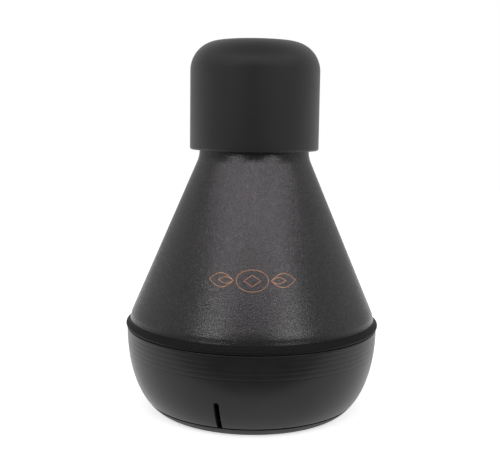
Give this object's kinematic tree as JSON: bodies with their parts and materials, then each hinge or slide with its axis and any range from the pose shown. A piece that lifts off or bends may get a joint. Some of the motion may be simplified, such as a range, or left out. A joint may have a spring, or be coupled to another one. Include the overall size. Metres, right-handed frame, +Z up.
{
  "type": "trombone practice mute",
  "caption": "Standing practice mute for a trombone: a soft end cap, a grained black cone on a grooved satin black base bowl, and a damped air tube inside.",
  "frame": {"origin": "centre of the flat foot face on the floor", "axes": "+Z up along the mute's axis, from the wide end to the cap; -Y towards the front seen in the picture, with the vent slot 15 degrees from it towards -X"},
  "size_m": [0.14, 0.14, 0.202],
  "materials": {
    "shell_coat": "satin black coat with a fine metallic grain",
    "bowl_rubber": "smooth satin black rubber",
    "foot_rubber": "matte black rubber",
    "cap_rubber": "soft matte black rubber",
    "seal_rubber": "black rubber",
    "bush_plastic": "moulded, fine texture",
    "ring_plastic": "moulded, fine texture",
    "tube_brass": "drawn tube",
    "sleeve_foam": "open foam",
    "felt": "pressed felt"
  },
  "bodies": {
    "base": {"base_bowl": "bowl_rubber", "foot_disc": "foot_rubber", "base_pad": "felt", "base_support_ring": "ring_plastic"},
    "shell": {"cone_shell": "shell_coat", "cone_liner": "felt", "inlet_bush": "bush_plastic", "bush_o_ring": "seal_rubber", "air_tube": "tube_brass", "tube_ring_upper": "ring_plastic", "damper_sleeve": "sleeve_foam", "tube_ring_lower": "ring_plastic", "tube_end_plug": "seal_rubber"},
    "cap": {"end_cap": "cap_rubber"}
  },
  "joints": [
    {"name": "shell_lift", "type": "slide", "parent": "base", "child": "shell", "axis": [0, 0, 1], "range_m": [0, 0.06]},
    {"name": "cap_pull", "type": "slide", "parent": "shell", "child": "cap", "axis": [0, 0, 1], "range_m": [0, 0.06]}
  ]
}
